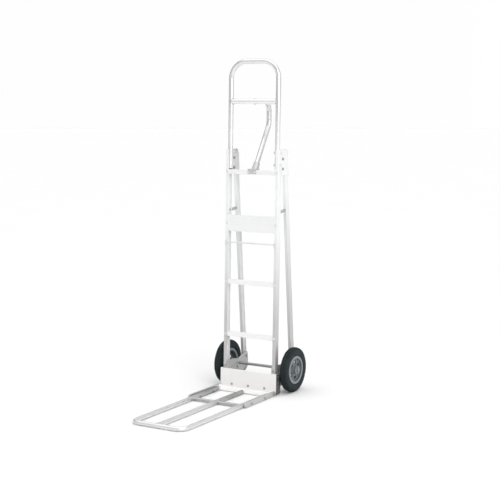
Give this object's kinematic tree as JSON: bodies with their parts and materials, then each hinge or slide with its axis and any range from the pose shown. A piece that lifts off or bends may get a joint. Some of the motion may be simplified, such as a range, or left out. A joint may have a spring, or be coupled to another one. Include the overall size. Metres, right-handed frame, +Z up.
{
  "type": "hand truck",
  "caption": "Tall aluminium hand truck with channel rails, a loop handle, a rear grip, glide rails, rubber wheels and a folding tube nose.",
  "frame": {"origin": "on the floor at the centre of the whole object's footprint, nose down", "axes": "+X across to the right, +Y to the rear, +Z up; the nose points to -Y"},
  "size_m": [0.5086, 1.16, 1.8587],
  "materials": {
    "extruded_aluminium": "mill finish with fine lengthwise extrusion lines",
    "handle_tube": "bright drawn tube",
    "nose_tube": "mill finish tube",
    "cast_aluminium": "as cast, lightly blasted",
    "saddle_casting": "grey as-cast surface",
    "rim_casting": "as cast, painted dark grey",
    "tyre_rubber": "matte black rubber",
    "grey_plastic": "moulded, fine grain",
    "axle_steel": "drawn bar",
    "zinc_steel": "zinc plated"
  },
  "bodies": {
    "frame": {"left_side_rail": "extruded_aluminium", "right_side_rail": "extruded_aluminium", "foot_crossbar": "extruded_aluminium", "lower_crossbar": "extruded_aluminium", "middle_crossbar": "extruded_aluminium", "upper_crossbar": "extruded_aluminium", "cross_panel": "extruded_aluminium", "crossbar_bolts": "zinc_steel", "crossbar_nuts": "zinc_steel", "loop_handle": "handle_tube", "handle_crossbar": "handle_tube", "handle_bolts": "zinc_steel", "handle_nuts": "zinc_steel", "rear_grip": "handle_tube", "grip_saddle": "saddle_casting", "grip_saddle_screws": "zinc_steel", "left_rear_rail": "extruded_aluminium", "right_rear_rail": "extruded_aluminium", "left_brace_head": "cast_aluminium", "right_brace_head": "cast_aluminium", "brace_plates": "extruded_aluminium", "brace_head_bolts": "zinc_steel", "brace_head_nuts": "zinc_steel", "rail_spacers": "grey_plastic", "spacer_screws": "zinc_steel", "left_wheel_bracket": "cast_aluminium", "right_wheel_bracket": "cast_aluminium", "bracket_bolts": "zinc_steel", "bracket_nuts": "zinc_steel", "toe_plate": "cast_aluminium", "toe_plate_bolts": "zinc_steel", "toe_plate_nuts": "zinc_steel", "toe_side_bolts": "zinc_steel", "toe_side_nuts": "zinc_steel", "nose_rest_rod": "axle_steel", "rest_rod_clips": "axle_steel", "rest_rod_screws": "zinc_steel", "nose_hinge_screws": "zinc_steel", "hinge_washers": "zinc_steel", "axle": "axle_steel", "axle_washers": "zinc_steel", "axle_cotter_pins": "zinc_steel"},
    "folding_nose": {"nose_loop": "nose_tube", "nose_centre_tube": "nose_tube", "nose_cross_tubes": "nose_tube", "left_nose_arm": "cast_aluminium", "right_nose_arm": "cast_aluminium", "nose_arm_bolts": "zinc_steel", "nose_arm_nuts": "zinc_steel", "nose_tube_plugs": "grey_plastic"},
    "left_wheel": {"left_tyre": "tyre_rubber", "left_rim": "rim_casting", "left_wheel_bearings": "zinc_steel"},
    "right_wheel": {"right_tyre": "tyre_rubber", "right_rim": "rim_casting", "right_wheel_bearings": "zinc_steel"}
  },
  "joints": [
    {"name": "nose_fold", "type": "hinge", "parent": "frame", "child": "folding_nose", "pos_m": [0, 0.296, 0.016], "axis": [-1, 0, 0], "range_deg": [0, 92.3]},
    {"name": "left_wheel_spin", "type": "hinge", "parent": "frame", "child": "left_wheel", "pos_m": [-0.216, 0.453, 0.127], "axis": [1, 0, 0], "continuous": true},
    {"name": "right_wheel_spin", "type": "hinge", "parent": "frame", "child": "right_wheel", "pos_m": [0.216, 0.453, 0.127], "axis": [1, 0, 0], "continuous": true}
  ]
}
